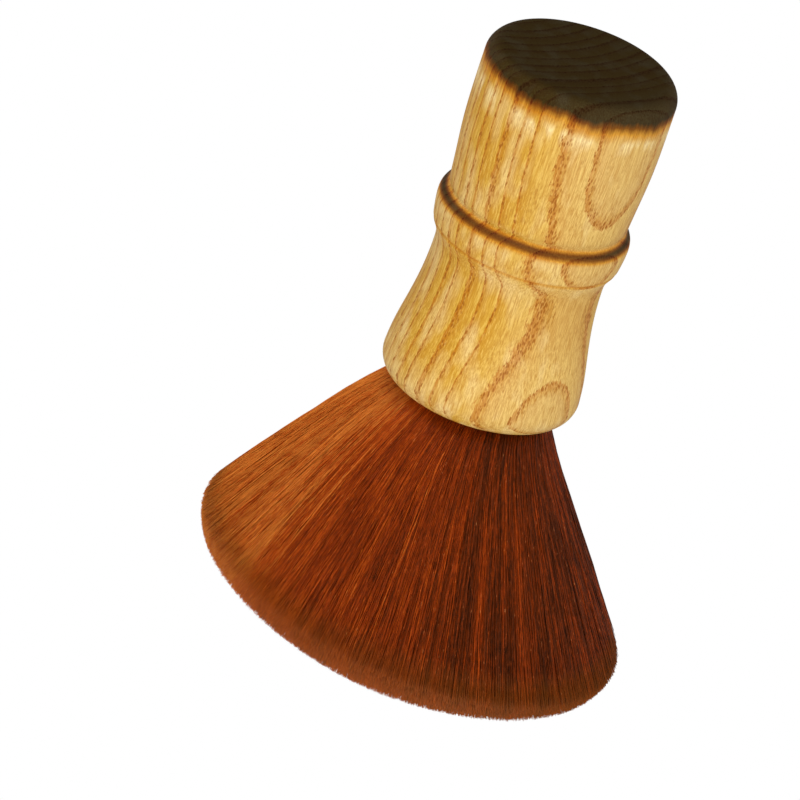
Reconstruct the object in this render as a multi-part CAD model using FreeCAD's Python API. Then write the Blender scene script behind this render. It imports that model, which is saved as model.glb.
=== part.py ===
import FreeCAD, Part
import math
import os

# Neck duster brush, standing on its butt with the bristles up.
# Millimetres. The origin is the centre of the butt face and +Z runs along the handle to the tips.

# Turned wooden handle. The three curved stretches are (radius, height) points that a spline passes through.
BUTT_R = 25.3            # radius just above the rounded edge of the butt
BUTT_ROUND = 4.5         # rounding of the butt's edge
GRIP = [(BUTT_R, BUTT_ROUND), (25.25, 14.0), (24.9, 25.0), (24.1, 34.0), (23.55, 40.4)]
GROOVE_R = 23.1          # bottom of the burnt groove, between the grip and the bead
GROOVE_Z = 41.2
BEAD = [(GROOVE_R, GROOVE_Z), (23.4, 41.8), (24.85, 43.5), (25.3, 46.6), (24.7, 51.2)]
CREASE_R = 24.25         # fine line cut under the bead
CREASE_Z = 51.7
LIP_R = 26.0             # fullest radius of the bell
LIP_Z = 91.0
NECK = [(24.35, 52.2), (22.8, 55.2), (22.35, 59.5), (22.8, 68.0), (24.25, 78.0), (25.6, 86.2), (LIP_R, LIP_Z)]
LIP_ROUND = 5.3          # rounding of the bell's rim
MOUTH_Z = LIP_Z + LIP_ROUND
SOCKET_R = 19.5
SOCKET_DEPTH = 22.0
SOCKET_EDGE = 0.5        # bevel at the socket's mouth
SOCKET_FLOOR_Z = MOUTH_Z - SOCKET_DEPTH

# Adhesive, collar, plug and binding that hold the knot of bristles in the socket
GLUE_BED = 0.8
GLUE_FILM = 0.4
COLLAR_HEIGHT = 10.0
COLLAR_WALL = 1.0
PLUG_THICK = 6.0
BINDING_CORD = 1.1       # diameter of the waxed cord
BINDING_TURNS = 3

# Bristles
BOUND_R = 16.9           # radius of the bundle inside the binding
BOUND_SPARE = 0.5        # how far the bundle stays narrow past the binding
THROAT_DEPTH = 9.2       # how far below the mouth the bundle is back at its full radius
THROAT_R = 19.2          # radius of the bundle where it leaves the socket
SPREAD_DEG = 33.0        # half angle of the fan
BRISTLE_TOP_Z = 176.0
DOME_R = 84.0            # radius of the sphere that the tips are cut to
TIP_ROUND = 2.5          # rounding between the fan's side and its dome

COLLAR_Z = SOCKET_FLOOR_Z + GLUE_BED
COLLAR_R = SOCKET_R - GLUE_FILM
COLLAR_BORE_R = COLLAR_R - COLLAR_WALL
COLLAR_TOP_Z = COLLAR_Z + COLLAR_HEIGHT
PLUG_TOP_Z = COLLAR_Z + PLUG_THICK
BINDING_TOP_Z = PLUG_TOP_Z + BINDING_TURNS * BINDING_CORD


def at(radius, height):
    return FreeCAD.Vector(radius, 0, height)


def line(*points):
    return [Part.makeLine(a, b) for a, b in zip(points, points[1:])]


def arc(start, middle, end):
    return [Part.Arc(start, middle, end).toShape()]


def round_corner(centre, radius, from_deg, to_deg):
    turns = [math.radians(d) for d in (from_deg, (from_deg + to_deg) / 2, to_deg)]
    return arc(*(at(centre.x + radius * math.cos(t), centre.z + radius * math.sin(t)) for t in turns))


def curve(outline):
    spline = Part.BSplineCurve()
    spline.interpolate([at(*point) for point in outline])
    return [spline.toShape()]


def turned(edges):
    """A closed outline in the XZ plane, spun into a solid about Z."""
    face = Part.Face(Part.Wire(edges))
    return face.revolve(at(0, 0), FreeCAD.Vector(0, 0, 1), 360)


def tube(inner_r, outer_r, low_z, high_z):
    corners = [at(inner_r, low_z), at(outer_r, low_z), at(outer_r, high_z), at(inner_r, high_z)]
    return turned(line(*corners, corners[0]))


def make_handle():
    """One piece of turned wood with a blind socket in the bell."""
    edges = line(at(0, SOCKET_FLOOR_Z), at(0, 0), at(BUTT_R - BUTT_ROUND, 0))
    edges += round_corner(at(BUTT_R - BUTT_ROUND, BUTT_ROUND), BUTT_ROUND, -90, 0)
    edges += curve(GRIP)
    edges += line(at(*GRIP[-1]), at(*BEAD[0]))
    edges += curve(BEAD)
    edges += line(at(*BEAD[-1]), at(CREASE_R, CREASE_Z), at(*NECK[0]))
    edges += curve(NECK)
    edges += round_corner(at(LIP_R - LIP_ROUND, LIP_Z), LIP_ROUND, 0, 90)
    edges += line(at(LIP_R - LIP_ROUND, MOUTH_Z),
                  at(SOCKET_R + SOCKET_EDGE, MOUTH_Z),
                  at(SOCKET_R, MOUTH_Z - SOCKET_EDGE),
                  at(SOCKET_R, SOCKET_FLOOR_Z),
                  at(0, SOCKET_FLOOR_Z))
    return turned(edges)


def make_socket_glue():
    """Adhesive bed and film, shaped like a shallow cup round the collar."""
    return turned(line(at(0, SOCKET_FLOOR_Z), at(SOCKET_R, SOCKET_FLOOR_Z), at(SOCKET_R, COLLAR_TOP_Z),
                       at(COLLAR_R, COLLAR_TOP_Z), at(COLLAR_R, COLLAR_Z), at(0, COLLAR_Z),
                       at(0, SOCKET_FLOOR_Z)))


def make_knot_collar():
    """Moulded ring in which the root plug is cast."""
    return tube(COLLAR_BORE_R, COLLAR_R, COLLAR_Z, COLLAR_TOP_Z)


def make_root_plug():
    """Cast resin disc that the roots of the filaments are set in."""
    return Part.makeCylinder(COLLAR_BORE_R, PLUG_THICK, at(0, COLLAR_Z))


def make_root_binding():
    """Turns of waxed cord laid side by side round the bundle."""
    mid = BOUND_R + BINDING_CORD / 2
    edges = line(at(mid, BINDING_TOP_Z), at(BOUND_R, BINDING_TOP_Z),
                 at(BOUND_R, PLUG_TOP_Z), at(mid, PLUG_TOP_Z))
    for turn in range(BINDING_TURNS):
        centre = at(mid, PLUG_TOP_Z + (turn + 0.5) * BINDING_CORD)
        edges += round_corner(centre, BINDING_CORD / 2, -90, 90)
    return turned(edges)


def make_bristle_tuft():
    """The knot of filaments as one soft solid: bound root, throat, straight-sided fan and domed tips."""
    half = math.radians(SPREAD_DEG)
    slope = math.tan(half)
    dome_z = BRISTLE_TOP_Z - DOME_R
    # The rounded tip edge touches the fan's side and the dome, so its centre lies TIP_ROUND inside both.
    inner_r = DOME_R - TIP_ROUND
    side_r = THROAT_R - TIP_ROUND / math.cos(half) - (MOUTH_Z - dome_z) * slope
    a = 1 + slope ** 2
    b = side_r * slope
    c = side_r ** 2 - inner_r ** 2
    rise = (-b + math.sqrt(b ** 2 - a * c)) / a
    centre = at(side_r + rise * slope, dome_z + rise)
    dome_deg = math.degrees(math.atan2(rise, centre.x))
    side_end = at(centre.x + TIP_ROUND * math.cos(half), centre.z - TIP_ROUND * math.sin(half))
    throat = at(THROAT_R, MOUTH_Z)
    shoulder = at(THROAT_R, MOUTH_Z - THROAT_DEPTH)
    bound = at(BOUND_R, BINDING_TOP_Z + BOUND_SPARE)
    edges = line(at(0, BRISTLE_TOP_Z), at(0, PLUG_TOP_Z), at(BOUND_R, PLUG_TOP_Z), bound, shoulder)
    edges += line(shoulder, throat, side_end)
    edges += round_corner(centre, TIP_ROUND, -SPREAD_DEG, dome_deg)
    edges += round_corner(at(0, dome_z), DOME_R, dome_deg, 90)
    return turned(edges)


NODES = {
    "handle": make_handle,
    "socket_glue": make_socket_glue,
    "knot_collar": make_knot_collar,
    "root_plug": make_root_plug,
    "root_binding": make_root_binding,
    "bristle_tuft": make_bristle_tuft,
}

os.makedirs("parts", exist_ok=True)
for name, make in NODES.items():
    shape = make()
    if shape.ShapeType != "Solid":
        shape = shape.Solids[0]
    if not shape.isValid() or shape.Volume <= 0:
        raise ValueError(name + " isn't a valid solid")
    shape.exportStep("parts/" + name + ".step")
    box = shape.optimalBoundingBox()
    print(name, round(shape.Volume), "mm3", "z", round(box.ZMin, 2), round(box.ZMax, 2),
          "width", round(box.XLength, 2))
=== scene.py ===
import math

import bmesh
import bpy
import numpy as np
from mathutils import Matrix, Vector


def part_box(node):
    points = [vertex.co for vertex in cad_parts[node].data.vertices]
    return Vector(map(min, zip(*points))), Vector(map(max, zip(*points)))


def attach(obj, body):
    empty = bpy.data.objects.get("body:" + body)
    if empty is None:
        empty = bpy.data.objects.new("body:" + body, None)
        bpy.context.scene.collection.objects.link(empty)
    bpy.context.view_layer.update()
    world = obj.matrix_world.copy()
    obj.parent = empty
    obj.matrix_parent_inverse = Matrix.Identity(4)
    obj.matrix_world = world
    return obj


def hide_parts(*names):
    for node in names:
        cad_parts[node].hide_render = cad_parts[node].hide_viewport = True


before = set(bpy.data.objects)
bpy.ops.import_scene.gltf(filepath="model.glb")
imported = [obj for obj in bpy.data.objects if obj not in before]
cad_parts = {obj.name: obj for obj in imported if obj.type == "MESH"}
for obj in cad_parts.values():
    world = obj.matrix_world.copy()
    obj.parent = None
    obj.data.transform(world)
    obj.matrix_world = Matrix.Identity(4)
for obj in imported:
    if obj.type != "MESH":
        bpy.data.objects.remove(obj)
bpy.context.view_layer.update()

MM = 0.001
rng = np.random.default_rng(53)

# ---------------------------------------------------------------- sizes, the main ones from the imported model
handle_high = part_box("handle")[1]
tuft_low, tuft_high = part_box("bristle_tuft")
MOUTH_Z = handle_high[2] / MM
LIP_R = handle_high[0] / MM
TIP_Z = tuft_high[2] / MM
ROOT_Z = tuft_low[2] / MM

# The handle's outline, in mm, as it is turned
BUTT_R, BUTT_ROUND = 25.3, 4.5
LIP_ROUND = 5.3
LIP_Z = MOUTH_Z - LIP_ROUND
SOCKET_R, SOCKET_DEPTH, SOCKET_EDGE = 19.5, 22.0, 0.5
GRIP = [(BUTT_R, BUTT_ROUND), (BUTT_R - 0.05, 14), (24.9, 25), (24.1, 34), (23.55, 40.4)]
GROOVE_Z = 41.2
BEAD = [(23.1, GROOVE_Z), (23.4, 41.8), (24.85, 43.5), (25.3, 46.6), (24.7, 51.2)]
CREASE_Z = 51.7
NECK = [(24.35, 52.2), (22.8, 55.2), (22.35, 59.5), (22.8, 68), (24.25, 78), (25.6, 86.2), (LIP_R, LIP_Z)]

# The fan of bristles, in mm
THROAT_R = 19.2
SPREAD = math.radians(33)
APEX_Z = MOUTH_Z - THROAT_R / math.tan(SPREAD)
DOME_R = 84.0
DOME_Z = TIP_Z - DOME_R
JUST_INSIDE = 33.0          # from the virtual apex: the outer filaments start here, below the mouth
UNEVEN_CUT = 0.006          # how unevenly the tips are cut, as a share of a filament's length
PALEST, DEEPEST = 0.95, 0.05    # the limits of a filament's tone


# ---------------------------------------------------------------- materials
def srgb(code):
    """An sRGB hex colour as linear RGBA."""
    parts = [int(code[i:i + 2], 16) / 255 for i in (1, 3, 5)]
    return [c / 12.92 if c <= 0.04045 else ((c + 0.055) / 1.055) ** 2.4 for c in parts] + [1.0]


def per(*sizes):
    """The scale that makes a pattern repeat every so many mm along X, Y and Z."""
    return [1 / size for size in sizes]


def blank(name):
    """A new material and its empty node tree."""
    mat = bpy.data.materials.new(name)
    mat.use_nodes = True
    mat.node_tree.nodes.clear()
    return mat, mat.node_tree


def add(tree, kind, inputs=None, out=0, stops=(), **settings):
    """A node with its settings, its inputs as values or links, and its colour stops. Returns one output."""
    node = tree.nodes.new("ShaderNode" + kind)
    for key, value in settings.items():
        setattr(node, key, value)
    for i, (place, colour) in enumerate(stops):
        stop = node.color_ramp.elements[i] if i < 2 else node.color_ramp.elements.new(place)
        stop.position = place
        stop.color = colour
    for key, value in (inputs or {}).items():
        if isinstance(value, bpy.types.NodeSocket):
            tree.links.new(value, node.inputs[key])
        else:
            node.inputs[key].default_value = value
    return node.outputs[out] if node.outputs else None


def lacquered_ash():
    """Turned ash, clear lacquered, black-brown on the butt and in the groove: granular orange-brown pore lines
    between smooth honey latewood, a fine fibre along the grain, a soft satin gloss and painted highlights."""
    mat, t = blank("lacquered_ash")
    mm = add(t, "Mapping", {"Vector": add(t, "TexCoord", out="Object"), "Scale": [1 / MM] * 3})
    x = add(t, "SeparateXYZ", {0: mm}, "X")
    z = add(t, "SeparateXYZ", {0: mm}, "Z")

    # Growth rings: shells round a pith that lies outside the blank and leans a little against its axis.
    ring_mm, phase = 3.6, 0.6
    wander_mm, uneven_rings, rough_edge = 2.0, 0.9, 0.3
    pith, pith_lean = (46.1, 41.5), (0.02, 0.04, 0)
    from_pith = add(t, "Mapping", {"Vector": mm, "Rotation": pith_lean,
                                   "Location": (-pith[0], -pith[1], 0)})
    level = add(t, "VectorMath", {0: from_pith, 1: (1, 1, 0)}, operation="MULTIPLY")
    away = add(t, "VectorMath", {0: level}, "Value", operation="LENGTH")
    wander = add(t, "TexNoise", {"Vector": add(t, "Mapping", {"Vector": mm, "Scale": per(30, 30, 60)}),
                                 "Scale": 1.0})
    away = add(t, "Math", {0: wander, 1: wander_mm, 2: away}, operation="MULTIPLY_ADD")
    turn = add(t, "Math", {0: away, 1: 1 / ring_mm, 2: phase}, operation="MULTIPLY_ADD")
    uneven = add(t, "TexNoise", {"W": turn, "Scale": 0.6, "Detail": 1.0}, noise_dimensions="1D")
    turn = add(t, "Math", {0: uneven, 1: uneven_rings, 2: turn}, operation="MULTIPLY_ADD")
    coarse = add(t, "TexNoise", {"Vector": add(t, "Mapping", {"Vector": mm, "Scale": per(0.7, 0.7, 2.6)}),
                                 "Scale": 1.0, "Detail": 3.0, "Roughness": 0.6})
    edge = add(t, "Math", {0: coarse, 1: rough_edge, 2: turn}, operation="MULTIPLY_ADD")
    edge = add(t, "Math", {0: edge}, operation="FRACT")
    band = add(t, "ValToRGB", {"Fac": edge}, stops=[
        (0.0, srgb("#CB9531")), (0.03, srgb("#BE7C1C")), (0.09, srgb("#B87216")), (0.18, srgb("#C68F2C")),
        (0.45, srgb("#CA9934")), (0.95, srgb("#D3A740"))])
    porous = add(t, "ValToRGB", {"Fac": edge}, stops=[
        (0.0, (0, 0, 0, 1)), (0.03, (1, 1, 1, 1)), (0.14, (0.9, 0.9, 0.9, 1)), (0.28, (0, 0, 0, 1))])

    # Pores are vessels about 0.3 mm wide, cut open as short dashes. They are drawn nearly twice as wide, to
    # show.
    cells = add(t, "TexVoronoi", {"Vector": add(t, "Mapping", {"Vector": mm, "Scale": per(0.55, 0.55, 1.5)}),
                                  "Scale": 1.0}, "Distance")
    open_pore = add(t, "MapRange", {"Value": cells, "From Min": 0.5, "From Max": 0.3})
    thin = add(t, "TexNoise", {"Vector": add(t, "Mapping", {"Vector": mm, "Scale": per(2.5, 2.5, 9)}),
                               "Scale": 1.0})
    stray = add(t, "MapRange", {"Value": thin, "From Min": 0.45, "From Max": 0.75, "To Max": 0.4})
    where = add(t, "Math", {0: porous, 1: stray}, operation="MAXIMUM")
    pore = add(t, "Math", {0: open_pore, 1: where}, operation="MULTIPLY")
    fibre = add(t, "TexNoise", {"Vector": add(t, "Mapping", {"Vector": mm, "Scale": per(0.33, 0.33, 8)}),
                                "Scale": 1.0, "Detail": 3.0, "Roughness": 0.7})
    fleck = add(t, "TexNoise", {"Vector": add(t, "Mapping", {"Vector": mm, "Scale": per(0.35, 0.35, 1.1)}),
                                "Scale": 1.0, "Detail": 2.0, "Roughness": 0.6})
    cloud = add(t, "TexNoise", {"Vector": add(t, "Mapping", {"Vector": mm, "Scale": per(6, 6, 16)}),
                                "Scale": 1.0})
    # The outer rings are pale sapwood. The proud edges carry painted highlights in patches: shoulder, bead and
    # bell.
    sapwood = add(t, "MapRange", {"Value": away, "From Min": 79.0, "From Max": 87.0, "To Max": 0.35})
    painted_edge_highlight = add(t, "ValToRGB", {"Fac": add(t, "Math", {0: z, 1: 1 / MOUTH_Z}, operation="MULTIPLY")}, stops=[
        (0.07, (0, 0, 0, 1)), (0.1, (1, 1, 1, 1)), (0.16, (0, 0, 0, 1)), (0.44, (0, 0, 0, 1)),
        (0.48, (0.5, 0.5, 0.5, 1)), (0.54, (0, 0, 0, 1)), (0.86, (0, 0, 0, 1)), (0.95, (0.5, 0.5, 0.5, 1))])
    stripe = add(t, "TexNoise", {"Vector": add(t, "Mapping", {"Vector": mm, "Scale": per(3.5, 3.5, 12)}),
                                 "Scale": 1.0, "Detail": 1.0})
    patch = add(t, "MapRange", {"Value": stripe, "From Min": 0.38, "From Max": 0.55, "To Max": 0.95})
    painted_edge_highlight = add(t, "Math", {0: painted_edge_highlight, 1: patch}, operation="MULTIPLY")
    pale = add(t, "MapRange", {"Value": cloud, "From Min": 0.45, "From Max": 0.68, "To Max": 0.45})
    pale = add(t, "Math", {0: pale, 1: add(t, "Math", {0: sapwood, 1: painted_edge_highlight}, operation="MAXIMUM")},
               operation="MAXIMUM")
    # Pore lines take only half of the paleness.
    keep = add(t, "Math", {0: porous, 1: -0.5, 2: 1.0}, operation="MULTIPLY_ADD")
    pale = add(t, "Math", {0: pale, 1: keep}, operation="MULTIPLY")
    streak = add(t, "MapRange", {"Value": fibre, "From Min": 0.42, "From Max": 0.66, "To Max": 0.62})
    light_streak = add(t, "MapRange", {"Value": fibre, "From Min": 0.48, "From Max": 0.3, "To Max": 0.52})
    speck = add(t, "MapRange", {"Value": fleck, "From Min": 0.52, "From Max": 0.72, "To Max": 0.35})
    wood = add(t, "Mix", {0: pale, 6: band, 7: srgb("#F7E3A8")}, 2, data_type="RGBA")
    wood = add(t, "Mix", {0: streak, 6: wood, 7: srgb("#AE721A")}, 2, data_type="RGBA")
    wood = add(t, "Mix", {0: light_streak, 6: wood, 7: srgb("#EBC770")}, 2, data_type="RGBA")
    wood = add(t, "Mix", {0: speck, 6: wood, 7: srgb("#A86A16")}, 2, data_type="RGBA")
    pore_depth = 0.8
    holes = add(t, "Math", {0: pore, 1: pore_depth}, operation="MULTIPLY")
    wood = add(t, "Mix", {0: holes, 6: wood, 7: srgb("#91500A")}, 2, data_type="RGBA")

    # Black-brown on the butt and in the groove, darker in the groove towards ±X, fading through orange.
    # The crease above the bead gets painted shade, and the bell's rim painted shade tinted orange by the
    # bristles.
    drift_mm, ragged_mm, groove_drift_mm = 5.0, 2.4, 0.6
    unmarked_z, darkest_z = 13.6, 4.6
    groove_low, groove_mid, groove_high = GROOVE_Z + 0.1, GROOVE_Z + 2.0, GROOVE_Z + 4.7
    drift = add(t, "TexNoise", {"Vector": add(t, "Mapping", {"Vector": mm, "Scale": per(16, 16, 30)}),
                                "Scale": 1.0})
    ragged = add(t, "TexNoise", {"Vector": add(t, "Mapping", {"Vector": mm, "Scale": per(1.6, 1.6, 5)}),
                                 "Scale": 1.0, "Detail": 3.0})
    butt_mark_z = add(t, "Math", {0: drift, 1: drift_mm, 2: z}, operation="MULTIPLY_ADD")
    butt_mark_z = add(t, "Math", {0: ragged, 1: ragged_mm, 2: butt_mark_z}, operation="MULTIPLY_ADD")
    butt = add(t, "MapRange", {"Value": butt_mark_z, "From Min": unmarked_z, "From Max": darkest_z},
               interpolation_type="SMOOTHSTEP")
    groove_z = add(t, "Math", {0: drift, 1: groove_drift_mm, 2: z}, operation="MULTIPLY_ADD")
    below = add(t, "MapRange", {"Value": groove_z, "From Min": groove_low, "From Max": groove_mid},
                interpolation_type="SMOOTHSTEP")
    above = add(t, "MapRange", {"Value": groove_z, "From Min": groove_high, "From Max": groove_mid},
                interpolation_type="SMOOTHSTEP")
    groove = add(t, "Math", {0: below, 1: above}, operation="MULTIPLY")
    deeper = add(t, "MapRange", {"Value": add(t, "Math", {0: x}, operation="ABSOLUTE"),
                                 "From Min": 12.0, "From Max": 24.0, "To Min": 0.7, "To Max": 0.84})
    groove = add(t, "Math", {0: groove, 1: deeper}, operation="MULTIPLY")
    # Painted shade in the crease above the bead.
    painted_crease_shade = add(t, "Math", {0: add(t, "Math", {0: z, 1: CREASE_Z}, operation="SUBTRACT")},
                 operation="ABSOLUTE")
    painted_crease_shade = add(t, "MapRange", {"Value": painted_crease_shade, "From Min": 0.9, "From Max": 0.0, "To Max": 0.3})
    # Painted shade tinted orange, as of light bounced off the bristles, on the bell's rim.
    painted_rim_bounce = add(t, "MapRange", {"Value": z, "From Min": MOUTH_Z - 1.6, "From Max": MOUTH_Z - 0.4,
                              "To Max": 0.26})
    painted_crease_and_rim_shade = add(t, "Math", {0: painted_crease_shade, 1: painted_rim_bounce}, operation="MAXIMUM")
    dark_marks_and_painted_shade = add(t, "Math", {0: butt, 1: groove}, operation="MAXIMUM")
    dark_marks_and_painted_shade = add(t, "Math", {0: dark_marks_and_painted_shade, 1: painted_crease_and_rim_shade}, operation="MAXIMUM")
    darken = add(t, "ValToRGB", {"Fac": dark_marks_and_painted_shade}, stops=[
        (0.02, (1, 1, 1, 1)), (0.33, (0.88, 0.64, 0.23, 1)), (0.64, (0.28, 0.15, 0.05, 1)),
        (0.85, (0.07, 0.074, 0.085, 1))])
    colour = add(t, "Mix", {0: 1.0, 6: wood, 7: darken}, 2, data_type="RGBA", blend_type="MULTIPLY")

    # The grain stands a little proud of the open pores, which are duller, as the dark marks are.
    fibre_height, pore_dull, dark_dull, satin = 0.3, 0.2, 0.25, 0.42
    sunk = add(t, "Math", {0: pore, 1: -1.0}, operation="MULTIPLY")
    relief = add(t, "Math", {0: fibre, 1: fibre_height, 2: sunk}, operation="MULTIPLY_ADD")
    bump = add(t, "Bump", {"Height": relief, "Strength": 0.4, "Distance": 0.0001})
    gloss = add(t, "Math", {0: pore, 1: pore_dull, 2: satin}, operation="MULTIPLY_ADD")
    gloss = add(t, "Math", {0: dark_marks_and_painted_shade, 1: dark_dull, 2: gloss}, operation="MULTIPLY_ADD")
    clear = add(t, "MapRange", {"Value": dark_marks_and_painted_shade, "From Min": 0.3, "From Max": 0.9, "To Min": 0.1,
                                "To Max": 0.0})
    shader = add(t, "BsdfPrincipled", {"Base Color": colour, "Roughness": gloss, "Specular IOR Level": 0.06,
                                       "Normal": bump, "Coat Weight": clear, "Coat Roughness": 0.3})
    add(t, "OutputMaterial", {"Surface": shader})
    return mat


def nylon_filament():
    """Dyed, crimped nylon filament, extruded and drawn: auburn, satin, with a tone of its own for each
    filament, painted glints in short light and dark dashes along it, soft furrows and duller cut tips."""
    mat, t = blank("nylon_filament")
    tone = add(t, "Attribute", out="Fac", attribute_name="tone")
    strand = add(t, "Attribute", out="Fac", attribute_name="strand")
    to_tip = add(t, "Attribute", out="Fac", attribute_name="to_tip")
    mm = add(t, "Mapping", {"Vector": add(t, "TexCoord", out="Object"), "Scale": [1 / MM] * 3})

    # Furrows run with the filaments, so they are laid out by the turn about the axis and the way to the tip.
    furrow_mm, furrow_turn, furrow_depth = 26, 13, 0.55
    level = add(t, "VectorMath", {0: mm, 1: (1, 1, 0)}, operation="MULTIPLY")
    outward = add(t, "VectorMath", {0: level}, operation="NORMALIZE")
    lift = add(t, "CombineXYZ", {"Z": add(t, "Math", {0: to_tip, 1: 1 / furrow_mm}, operation="MULTIPLY")})
    lie = add(t, "VectorMath", {0: outward, 1: [furrow_turn] * 3, 2: lift}, operation="MULTIPLY_ADD")
    furrow = add(t, "TexNoise", {"Vector": lie, "Scale": 1.0, "Detail": 3.0, "Roughness": 0.6})
    middle = add(t, "Math", {0: furrow, 1: 0.5}, operation="SUBTRACT")
    tone = add(t, "Math", {0: middle, 1: furrow_depth, 2: tone}, operation="MULTIPLY_ADD")
    # Painted glints: light and dark dashes about 2 mm long, each filament with its own, far from its
    # neighbours' in the pattern.
    glint_mm, strand_gap, glint_depth = 2.2, 900.0, 0.8
    along = add(t, "CombineXYZ", {"X": add(t, "Math", {0: strand, 1: strand_gap}, operation="MULTIPLY"),
                                  "Y": add(t, "Math", {0: to_tip, 1: 1 / glint_mm}, operation="MULTIPLY")})
    glint = add(t, "TexNoise", {"Vector": along, "Scale": 1.0, "Detail": 2.0, "Roughness": 0.6})
    middle = add(t, "Math", {0: glint, 1: 0.5}, operation="SUBTRACT")
    tone = add(t, "Math", {0: middle, 1: glint_depth, 2: tone}, operation="MULTIPLY_ADD")
    colour = add(t, "ValToRGB", {"Fac": tone}, stops=[
        (0.0, srgb("#301506")), (0.25, srgb("#5C2405")), (0.5, srgb("#8F3406")), (0.75, srgb("#BB500E")),
        (1.0, srgb("#DE8432"))])
    # Painted highlights where the glint noise peaks.
    painted_glint = add(t, "MapRange", {"Value": glint, "From Min": 0.66, "From Max": 0.78, "To Max": 0.4})
    colour = add(t, "Mix", {0: painted_glint, 6: colour, 7: srgb("#DA9A62")}, 2, data_type="RGBA")
    dull = add(t, "MapRange", {"Value": to_tip, "From Min": 9.0, "From Max": 0.0, "To Max": 0.45})
    colour = add(t, "Mix", {0: dull, 6: colour, 7: srgb("#9C561A")}, 2, data_type="RGBA")
    shader = add(t, "BsdfPrincipled", {"Base Color": colour, "Roughness": 0.4, "Specular IOR Level": 0.08})
    add(t, "OutputMaterial", {"Surface": shader})
    return mat


def packed_filament():
    """The bundle below the surface, where filaments lie too close to part: the same nylon, in shade."""
    mat, t = blank("packed_filament")
    mm = add(t, "Mapping", {"Vector": add(t, "TexCoord", out="Object"), "Scale": [1 / MM] * 3})
    from_apex = add(t, "VectorMath", {0: mm, 1: (0, 0, APEX_Z)}, operation="SUBTRACT")
    outward = add(t, "VectorMath", {0: from_apex}, operation="NORMALIZE")
    lines = add(t, "TexNoise", {"Vector": outward, "Scale": 170.0, "Detail": 3.0, "Roughness": 0.7})
    colour = add(t, "ValToRGB", {"Fac": lines}, stops=[
        (0.25, srgb("#2C0D04")), (0.5, srgb("#5A2109")), (0.8, srgb("#7C3510"))])
    bump = add(t, "Bump", {"Height": lines, "Strength": 0.6, "Distance": 0.0004})
    shader = add(t, "BsdfPrincipled", {"Base Color": colour, "Roughness": 0.6, "Normal": bump})
    add(t, "OutputMaterial", {"Surface": shader})
    return mat


def cured_epoxy():
    """Two-part epoxy, spread and cured: cloudy amber with small trapped bubbles and a wet gloss."""
    mat, t = blank("cured_epoxy")
    mm = add(t, "Mapping", {"Vector": add(t, "TexCoord", out="Object"), "Scale": [1 / MM] * 3})
    swirl_mm, bubble_mm = 4, 0.9
    swirl = add(t, "TexNoise", {"Vector": mm, "Scale": 1 / swirl_mm, "Detail": 3.0, "Distortion": 0.8})
    bubble = add(t, "TexVoronoi", {"Vector": mm, "Scale": 1 / bubble_mm}, "Distance")
    hollow = add(t, "MapRange", {"Value": bubble, "From Min": 0.22, "From Max": 0.12})
    colour = add(t, "ValToRGB", {"Fac": swirl}, stops=[
        (0.3, srgb("#B08F4E")), (0.55, srgb("#C9AC6C")), (0.8, srgb("#DCC593"))])
    colour = add(t, "Mix", {0: hollow, 6: colour, 7: srgb("#F0E3C4")}, 2, data_type="RGBA")
    bump = add(t, "Bump", {"Height": hollow, "Strength": 0.4, "Distance": 0.0002})
    shader = add(t, "BsdfPrincipled", {"Base Color": colour, "Roughness": 0.18, "IOR": 1.55, "Normal": bump})
    add(t, "OutputMaterial", {"Surface": shader})
    return mat


def moulded_abs():
    """Black ABS, injection moulded: even charcoal with a fine spark-eroded grain and faint flow lines."""
    mat, t = blank("moulded_abs")
    mm = add(t, "Mapping", {"Vector": add(t, "TexCoord", out="Object"), "Scale": [1 / MM] * 3})
    grain_mm = 0.15
    grain = add(t, "TexNoise", {"Vector": mm, "Scale": 1 / grain_mm, "Detail": 2.0})
    flow = add(t, "TexNoise", {"Vector": add(t, "Mapping", {"Vector": mm, "Scale": per(9, 9, 1.5)}),
                               "Scale": 1.0})
    colour = add(t, "ValToRGB", {"Fac": flow}, stops=[(0.35, srgb("#1B1B1C")), (0.65, srgb("#262627"))])
    bump = add(t, "Bump", {"Height": grain, "Strength": 0.25, "Distance": 0.00005})
    dull = add(t, "MapRange", {"Value": grain, "From Min": 0.3, "From Max": 0.7, "To Min": 0.34,
                               "To Max": 0.5})
    shader = add(t, "BsdfPrincipled", {"Base Color": colour, "Roughness": dull, "IOR": 1.53, "Normal": bump})
    add(t, "OutputMaterial", {"Surface": shader})
    return mat


def cast_resin():
    """Polyester resin cast round the filaments' roots: dark amber, with the cut roots as auburn dots."""
    mat, t = blank("cast_resin")
    mm = add(t, "Mapping", {"Vector": add(t, "TexCoord", out="Object"), "Scale": [1 / MM] * 3})
    # Filaments run along Z, so each root is one cell of a flat pattern. They are drawn coarse, at 0.5 mm.
    root_mm, swirl_mm = 0.5, 5
    ends = add(t, "TexVoronoi", {"Vector": mm, "Scale": 1 / root_mm}, "Distance", voronoi_dimensions="2D")
    root = add(t, "MapRange", {"Value": ends, "From Min": 0.42, "From Max": 0.3})
    swirl = add(t, "TexNoise", {"Vector": mm, "Scale": 1 / swirl_mm, "Detail": 3.0, "Distortion": 0.6})
    colour = add(t, "ValToRGB", {"Fac": swirl}, stops=[(0.3, srgb("#7A4B14")), (0.7, srgb("#A36E25"))])
    colour = add(t, "Mix", {0: root, 6: colour, 7: srgb("#6B2A0A")}, 2, data_type="RGBA")
    bump = add(t, "Bump", {"Height": root, "Strength": 0.3, "Distance": 0.0001})
    shader = add(t, "BsdfPrincipled", {"Base Color": colour, "Roughness": 0.22, "IOR": 1.56, "Normal": bump})
    add(t, "OutputMaterial", {"Surface": shader})
    return mat


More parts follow.
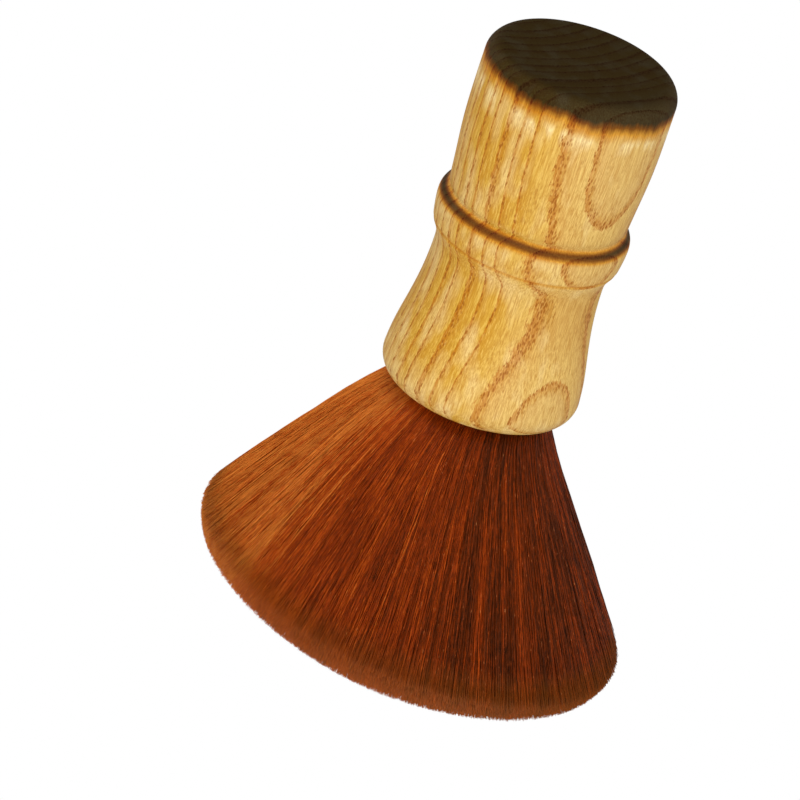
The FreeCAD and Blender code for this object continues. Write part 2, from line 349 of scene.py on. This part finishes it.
def waxed_twine():
    """Three-ply linen twine, waxed: buff yarns that slant round the cord, painted shade between them, dull
    sheen.
    """
    mat, t = blank("waxed_twine")
    mm = add(t, "Mapping", {"Vector": add(t, "TexCoord", out="Object"), "Scale": [1 / MM] * 3})
    x, y, z = (add(t, "SeparateXYZ", {0: mm}, axis) for axis in "XYZ")
    round_z = add(t, "Math", {0: y, 1: x}, operation="ARCTAN2")
    # Yarns are 0.9 mm apart round the bundle and climb about as fast as they go round.
    yarn_mm, bundle_r, fuzz_mm = 0.9, 17.5, 0.25
    lay = add(t, "Math", {0: round_z, 1: bundle_r, 2: z}, operation="MULTIPLY_ADD")
    strand = add(t, "Math", {0: lay, 1: 1 / yarn_mm}, operation="MULTIPLY")
    strand = add(t, "Math", {0: strand, 1: 0.5}, operation="PINGPONG")
    fuzz = add(t, "TexNoise", {"Vector": mm, "Scale": 1 / fuzz_mm, "Detail": 2.0})
    # The troughs of the ply pattern are painted shade between the yarns.
    level = add(t, "Math", {0: fuzz, 1: 0.3, 2: strand}, operation="MULTIPLY_ADD")
    colour = add(t, "ValToRGB", {"Fac": level}, stops=[
        (0.05, srgb("#6E5C3E")), (0.3, srgb("#A8946B")), (0.6, srgb("#C9B88E"))])
    bump = add(t, "Bump", {"Height": level, "Strength": 0.8, "Distance": 0.0003})
    shader = add(t, "BsdfPrincipled", {"Base Color": colour, "Roughness": 0.5, "Normal": bump})
    add(t, "OutputMaterial", {"Surface": shader})
    return mat


# ---------------------------------------------------------------- shapes
def smooth_through(points, count):
    """count points on the natural cubic spline through points."""
    p = np.array(points, float)
    t = np.concatenate([[0], np.cumsum(np.hypot(*np.diff(p, axis=0).T))])
    h = np.diff(t)
    n = len(p)
    a = np.eye(n)
    rhs = np.zeros_like(p)
    for i in range(1, n - 1):
        a[i, i - 1:i + 2] = h[i - 1], 2 * (h[i - 1] + h[i]), h[i]
        rhs[i] = 6 * ((p[i + 1] - p[i]) / h[i] - (p[i] - p[i - 1]) / h[i - 1])
    bend = np.linalg.solve(a, rhs)
    out = []
    for s in np.linspace(0, t[-1], count):
        i = min(np.searchsorted(t, s, side="right") - 1, n - 2)
        u, w = t[i + 1] - s, s - t[i]
        out.append(tuple((bend[i] * u ** 3 + bend[i + 1] * w ** 3) / (6 * h[i])
                         + (p[i] / h[i] - bend[i] * h[i] / 6) * u
                         + (p[i + 1] / h[i] - bend[i + 1] * h[i] / 6) * w))
    return out


def round_corner(centre, radius, from_deg, to_deg, count):
    """count points on an arc of the outline."""
    turns = np.radians(np.linspace(from_deg, to_deg, count))
    return [(centre[0] + radius * math.cos(a), centre[1] + radius * math.sin(a)) for a in turns]


def spun(name, outline, steps):
    """An outline of (radius, height) in mm, turned once about Z and closed."""
    bm = bmesh.new()
    points = [bm.verts.new((r * MM, 0, z * MM)) for r, z in outline]
    edges = [bm.edges.new(pair) for pair in zip(points, points[1:])]
    bmesh.ops.spin(bm, geom=points + edges, cent=(0, 0, 0), axis=(0, 0, 1), angle=math.tau,
                   steps=steps, use_merge=True)
    bmesh.ops.remove_doubles(bm, verts=bm.verts, dist=1e-6)
    bmesh.ops.recalc_face_normals(bm, faces=bm.faces)
    return piece(name, bm)


def place(name, data):
    """An object of this data, in the scene."""
    obj = bpy.data.objects.new(name, data)
    bpy.context.scene.collection.objects.link(obj)
    return obj


def piece(name, bm):
    """A finished piece of a bmesh, which it frees."""
    mesh = bpy.data.meshes.new(name)
    bm.to_mesh(mesh)
    bm.free()
    mesh.shade_smooth()
    return place(name, mesh)


def make_handle():
    """The turned outline, from the middle of the butt round to the floor of the socket."""
    butt_ring_r, crease_r = 12, 24.25
    outline = [(0, 0), (butt_ring_r, 0)]
    outline += round_corner((BUTT_R - BUTT_ROUND, BUTT_ROUND), BUTT_ROUND, -90, 0, 14)[:-1]
    outline += smooth_through(GRIP, 34)
    outline += smooth_through(BEAD, 26)
    outline += [(crease_r, CREASE_Z)]
    outline += smooth_through(NECK, 44)[:-1]
    outline += round_corner((LIP_R - LIP_ROUND, LIP_Z), LIP_ROUND, 0, 90, 16)
    outline += [(SOCKET_R + SOCKET_EDGE, MOUTH_Z), (SOCKET_R, MOUTH_Z - SOCKET_EDGE),
                (SOCKET_R, MOUTH_Z - SOCKET_DEPTH), (0, MOUTH_Z - SOCKET_DEPTH)]
    return spun("turned_handle", outline, steps=192)


def lean(points):
    """The set that use gives the fan: it leans a little to one side, from the mouth on."""
    x, y, z = points[..., 0], points[..., 1], points[..., 2]
    out = np.clip(z - MOUTH_Z, 0, None)
    side = x / (THROAT_R + out * math.tan(SPREAD))
    shift, shift_over, tilt, splay = 2.6, 6.0, 0.022, 0.018
    leaning = x + shift * (1 - np.exp(-out / shift_over)) + (tilt + splay * side) * out
    return np.stack([leaning, y, z], -1)


def worn(angle, turn):
    """How far filaments reach of their full length: less on the side that the fan leans to, and a
    little more round its edge."""
    one_side, edge_longer = 0.062, 0.024
    edge = np.sin(angle) / math.sin(SPREAD)
    return 1 - one_side * np.cos(turn) * edge + edge_longer * edge ** 4


def dome_reach(angle):
    """Distance from the virtual apex to the domed tips, at an angle to the axis."""
    gap = APEX_Z - DOME_Z
    b = gap * np.cos(angle)
    return -b + np.sqrt(b ** 2 + DOME_R ** 2 - gap ** 2)


def filament(cuts):
    """One filament: a three-sided rod of unit radius and height, cut into spans."""
    bm = bmesh.new()
    bmesh.ops.create_cone(bm, cap_ends=True, segments=3, radius1=1, radius2=1, depth=1,
                          matrix=Matrix.Translation((0, 0, 0.5)))
    for cut in cuts:
        bmesh.ops.bisect_plane(bm, geom=bm.verts[:] + bm.edges[:] + bm.faces[:], plane_co=(0, 0, cut),
                               plane_no=(0, 0, 1))
    bmesh.ops.triangulate(bm, faces=bm.faces)
    bm.verts.index_update()
    verts = np.array([v.co for v in bm.verts])
    faces = np.array([[v.index for v in f.verts] for f in bm.faces])
    bm.free()
    return verts, faces


LONG_SPANS = 9
LONG_ROD = filament([k / LONG_SPANS for k in range(1, LONG_SPANS)])
SHORT_ROD = filament((0.4, 0.8))


def make_bristles(name, rod, angle, turn, draw, start, length, width, tone, phase):
    """Filaments laid from the throat to the dome, as copies of one rod: too many for an operator each.
    Each array holds one value for each filament: its angle to the axis, its turn about it, how far its tip
    is drawn round into a lock, how far from the apex it starts, its length as a share of the way to the dome,
    its width in mm, its tone and where its crimp starts."""
    crimp_mm, bow_mm, wave_mm, swing_mm = 0.2, 0.3, 0.2, 0.28
    short_pitch, long_pitch, cut_width = 16, 30, 0.45
    n = len(angle)
    verts, faces = rod
    reach = dome_reach(angle) * length * worn(angle, turn)
    s = verts[None, :, 2]
    dist = start[:, None] + (reach - start)[:, None] * s
    wave = np.clip(rng.normal(0, 1, (n, 4)), -2, 2)
    pitch = rng.uniform(short_pitch, long_pitch, n)[:, None]
    crimp = crimp_mm * np.sin(math.tau * dist / pitch + phase[:, None])
    bow = bow_mm * wave[:, 0:1] * np.sin(s * math.pi)
    bow += wave_mm * wave[:, 1:2] * np.sin(s * math.tau + wave[:, 2:3])
    swing = crimp + swing_mm * wave[:, 3:4] * np.sin(s * math.pi * 1.5)
    sin_a, cos_a = np.sin(angle)[:, None], np.cos(angle)[:, None]
    turned = turn[:, None] + draw[:, None] * s ** 1.5
    sin_t, cos_t = np.sin(turned), np.cos(turned)
    flat = dist * sin_a + bow * cos_a
    up = APEX_Z + dist * cos_a - bow * sin_a
    x = flat * cos_t - swing * sin_t
    y = flat * sin_t + swing * cos_t
    points = lean(np.stack([x, y, up], -1))
    taper = np.interp(s, [0, 0.85, 1], [1.0, 1.0, cut_width])
    half = width[:, None] / 2 * taper
    ax, ay = verts[None, :, 0] * half, verts[None, :, 1] * half
    points[..., 0] += ax * cos_a * cos_t - ay * sin_t
    points[..., 1] += ax * cos_a * sin_t + ay * cos_t
    points[..., 2] += -ax * sin_a

    mesh = bpy.data.meshes.new(name)
    every = (faces[None] + (np.arange(n) * len(verts))[:, None, None]).reshape(-1, 3)
    mesh.vertices.add(n * len(verts))
    mesh.vertices.foreach_set("co", (points * MM).astype(np.float32).ravel())
    mesh.loops.add(every.size)
    mesh.loops.foreach_set("vertex_index", every.ravel().astype(np.int32))
    mesh.polygons.add(len(every))
    mesh.polygons.foreach_set("loop_start", np.arange(0, every.size, 3, dtype=np.int32))
    mesh.update(calc_edges=True)
    mesh.validate()
    mesh.shade_smooth()
    to_tip = (reach - start)[:, None] * (1 - verts[None, :, 2])
    each = {"tone": np.repeat(tone, len(verts)), "strand": np.repeat(rng.uniform(0, 1, n), len(verts)),
            "to_tip": to_tip.ravel()}
    for key, values in each.items():
        data = mesh.attributes.new(key, "FLOAT", "POINT")
        data.data.foreach_set("value", values.astype(np.float32))
    return place(name, mesh)


def make_core():
    """Closed body of packed filaments inside the fan."""
    side_steps, top_steps = 24, 20
    inset_throat, inset_side, inset_top = 0.8, 3.4, 9.0
    foot_z, bound_r, bound_z, throat_z = ROOT_Z + 0.3, 16.4, 85, 91
    throat_r = THROAT_R - inset_throat
    sin_side, cos_side = math.sin(SPREAD), math.cos(SPREAD)
    outline = [(0, foot_z), (bound_r, foot_z), (bound_r, bound_z), (throat_r, throat_z), (throat_r, MOUTH_Z)]
    for k in np.linspace(0.06, 1, side_steps):
        dist = (dome_reach(SPREAD) - inset_top) * k + (MOUTH_Z - APEX_Z) / cos_side * (1 - k)
        inset = inset_throat + (inset_side - inset_throat) * k
        outline.append((dist * sin_side - inset * cos_side, APEX_Z + dist * cos_side + inset * sin_side))
    corner = outline[-1]
    last = math.atan2(corner[0], corner[1] - APEX_Z)
    for k in np.linspace(1, 0, top_steps)[1:]:
        dist = dome_reach(last * k) - inset_top
        outline.append((dist * math.sin(last * k), APEX_Z + dist * math.cos(last * k)))
    outline[-1] = (0, outline[-1][1])
    obj = spun("packed_bristles", outline, steps=128)
    count = len(obj.data.vertices)
    co = np.empty(count * 3, np.float32)
    obj.data.vertices.foreach_get("co", co)
    co = co.reshape(-1, 3) / MM
    above = co[:, 2] > MOUTH_Z
    ray = co[above] - (0, 0, APEX_Z)
    angle = np.arctan2(np.hypot(ray[:, 0], ray[:, 1]), ray[:, 2])
    rise = (co[above, 2] - MOUTH_Z) / (TIP_Z - MOUTH_Z)
    grow = 1 + (worn(angle, np.arctan2(ray[:, 1], ray[:, 0])) - 1) * rise
    co[above] = ray * grow[:, None] + (0, 0, APEX_Z)
    co = lean(co) * MM
    obj.data.vertices.foreach_set("co", co.astype(np.float32).ravel())
    obj.data.update()
    return obj


LOCKS = 240                 # filaments cling together in locks, each with a tone and a crimp
lock_turn = rng.uniform(0, math.tau, LOCKS)
lock_tone = rng.normal(0, 1, LOCKS)
lock_phase = rng.uniform(0, math.tau, LOCKS)


def rim_round(angle):
    """How much shorter, as a share, filaments are at the fan's edge, where its tips are rounded over."""
    shorter, edge_width = 0.03, 0.12
    return shorter * np.clip((angle / SPREAD - 0.88) / edge_width, 0, 1) ** 2


def painted_side_light(angle, turn):
    """Painted light: the fan's tone is lighter on the side that it leans to, as if lit, and darker on the
    other, as in shade.
    """
    side = np.cos(turn) * np.sin(angle) / math.sin(SPREAD)
    return 0.5 + np.interp(side, [-1, -0.5, 0, 0.5, 1], [-0.22, -0.22, -0.03, 0.07, 0.6])


def outer_bristles(name, count, depth):
    """Filaments of the fan's side, drawn together into locks."""
    least_draw, most_draw, stray_draw, crowding = 0.05, 0.55, 0.015, 1.2
    lock_shade, own_shade, own_phase = 0.04, 0.08, 1.4
    turn = rng.uniform(0, math.tau, count)
    gap = (lock_turn[None] - turn[:, None] + math.pi) % math.tau - math.pi
    near = np.abs(gap).argmin(1)
    draw = gap[np.arange(count), near] * rng.uniform(least_draw, most_draw, count)
    draw += rng.normal(0, stray_draw, count)
    angle = SPREAD - rng.uniform(0, 1, count) ** crowding * depth
    tone = painted_side_light(angle, turn) + lock_shade * lock_tone[near] + own_shade * rng.normal(0, 1, count)
    length = 1 - np.abs(rng.normal(0, UNEVEN_CUT, count)) - rim_round(angle)
    phase = lock_phase[near] + rng.normal(0, own_phase, count)
    start = np.full(count, JUST_INSIDE)
    width = rng.uniform(0.16, 0.28, count)
    return make_bristles(name, LONG_ROD, angle, turn, draw, start, length, width,
                         np.clip(tone, DEEPEST, PALEST), phase)


def inner_bristles(name, count):
    """Filaments of the dome, spread evenly over it: only their outer ends, since the core hides the rest."""
    shortest, longest, own_shade, stray_draw = 26, 32, 0.12, 0.01
    turn = rng.uniform(0, math.tau, count)
    angle = SPREAD * np.sqrt(rng.uniform(0, 0.97, count))
    tone = painted_side_light(angle, turn) + own_shade * rng.normal(0, 1, count)
    length = 1 - np.abs(rng.normal(0, UNEVEN_CUT, count)) - rim_round(angle)
    start = dome_reach(angle) - rng.uniform(shortest, longest, count)
    draw = rng.normal(0, stray_draw, count)
    width = rng.uniform(0.2, 0.34, count)
    phase = rng.uniform(0, math.tau, count)
    return make_bristles(name, SHORT_ROD, angle, turn, draw, start, length, width,
                         np.clip(tone, DEEPEST, PALEST), phase)


# ---------------------------------------------------------------- the brush
ash = lacquered_ash()
nylon = nylon_filament()
packed = packed_filament()

handle = make_handle()
handle.data.materials.append(ash)
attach(handle, "root")
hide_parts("handle")

core = make_core()
core.data.materials.append(packed)
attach(core, "root")
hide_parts("bristle_tuft")

inner_nodes = {"socket_glue": cured_epoxy, "knot_collar": moulded_abs,
               "root_plug": cast_resin, "root_binding": waxed_twine}
for node, finish in inner_nodes.items():
    material = finish()
    for material_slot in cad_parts[node].material_slots:
        material_slot.material = material

OUTER_COUNT, INNER_COUNT = 3500, 9900          # in each piece, to keep it under 200,000 triangles
OUTER_DEPTH = math.radians(2.6)
bristles = [outer_bristles("outer_bristles_" + str(i + 1), OUTER_COUNT, OUTER_DEPTH) for i in range(6)]
bristles += [inner_bristles("inner_bristles_" + str(i + 1), INNER_COUNT) for i in range(3)]
for tuft in bristles:
    tuft.data.materials.append(nylon)
    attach(tuft, "root")

# ---------------------------------------------------------------- floor, light and camera
FLOOR_Z = -0.05          # just under the butt, so that the two never flicker
FLOOR_HALF = 25.0        # metres, so that its edge is far off in a low view
floor_bm = bmesh.new()
bmesh.ops.create_grid(floor_bm, x_segments=1, y_segments=1, size=FLOOR_HALF,
                      matrix=Matrix.Translation((0, 0, FLOOR_Z * MM)))
floor = piece("floor", floor_bm)
floor_mat, t = blank("pale_floor")
paint = add(t, "BsdfPrincipled", {"Base Color": srgb("#E9E7E3"), "Roughness": 0.8,
                                  "Emission Color": srgb("#E9E7E3"), "Emission Strength": 0.3})
# It shows from above only, so the brush is seen whole from below.
cover = add(t, "MixShader", {0: add(t, "NewGeometry", out="Backfacing"), 1: paint,
                             2: add(t, "BsdfTransparent")})
add(t, "OutputMaterial", {"Surface": cover})
floor.data.materials.append(floor_mat)
floor.visible_shadow = False

world = bpy.data.worlds.new("studio")
world.use_nodes = True
bpy.context.scene.world = world
t = world.node_tree
t.nodes.clear()
seen = add(t, "Background", {"Color": srgb("#FFFFFF"), "Strength": 1.0})
glow = add(t, "Background", {"Color": srgb("#FFFFFF"), "Strength": 0.45})
sky = add(t, "MixShader", {0: add(t, "LightPath", out="Is Camera Ray"), 1: glow, 2: seen})
add(t, "OutputWorld", {"Surface": sky})

VIEW_BELOW = math.radians(25.5)
VIEW_ROLL = math.radians(18.5)
LENS, SENSOR = 700.0, 36.0
FRAME_WIDTH = 0.2036          # metres across the view, at the brush
toward = Vector((0, math.cos(VIEW_BELOW), math.sin(VIEW_BELOW)))
axis_up = Vector((0, -math.sin(VIEW_BELOW), math.cos(VIEW_BELOW)))
right = Vector((-math.cos(VIEW_ROLL), 0, 0)) - math.sin(VIEW_ROLL) * axis_up
upward = -math.cos(VIEW_ROLL) * axis_up + Vector((math.sin(VIEW_ROLL), 0, 0))
aim = Vector((0.0174, 0, 0.1058))         # the middle of the view, in metres
camera_data = bpy.data.cameras.new("camera")
camera_data.lens = LENS
camera_data.sensor_width = SENSOR
camera_data.clip_end = 100
camera = place("camera", camera_data)
camera.matrix_world = Matrix.Translation(aim - toward * FRAME_WIDTH * LENS / SENSOR) @ Matrix(
    (right, upward, -toward)).transposed().to_4x4()
bpy.context.scene.camera = camera


MIDDLE = Vector((0, 0, 0.09))          # halfway up the brush, where the lights point
LIGHT_AWAY = 1.2                       # metres


def soft_light(name, direction, size, watts):
    """A square soft box that faces the brush."""
    data = bpy.data.lights.new(name, "AREA")
    data.size = size
    data.energy = watts
    light = place(name, data)
    away = Vector(direction).normalized()
    light.location = MIDDLE + away * LIGHT_AWAY
    light.rotation_euler = (-away).to_track_quat("-Z", "Y").to_euler()


soft_light("front_light", (-0.5, -1.0, 0.12), size=0.6, watts=4.7)
soft_light("butt_light", 0.15 * right + 0.75 * upward - 0.65 * toward, size=0.7, watts=6)
soft_light("top_light", (0.3, -0.5, 1.0), size=0.9, watts=8.5)

bpy.context.scene.view_settings.view_transform = "Standard"
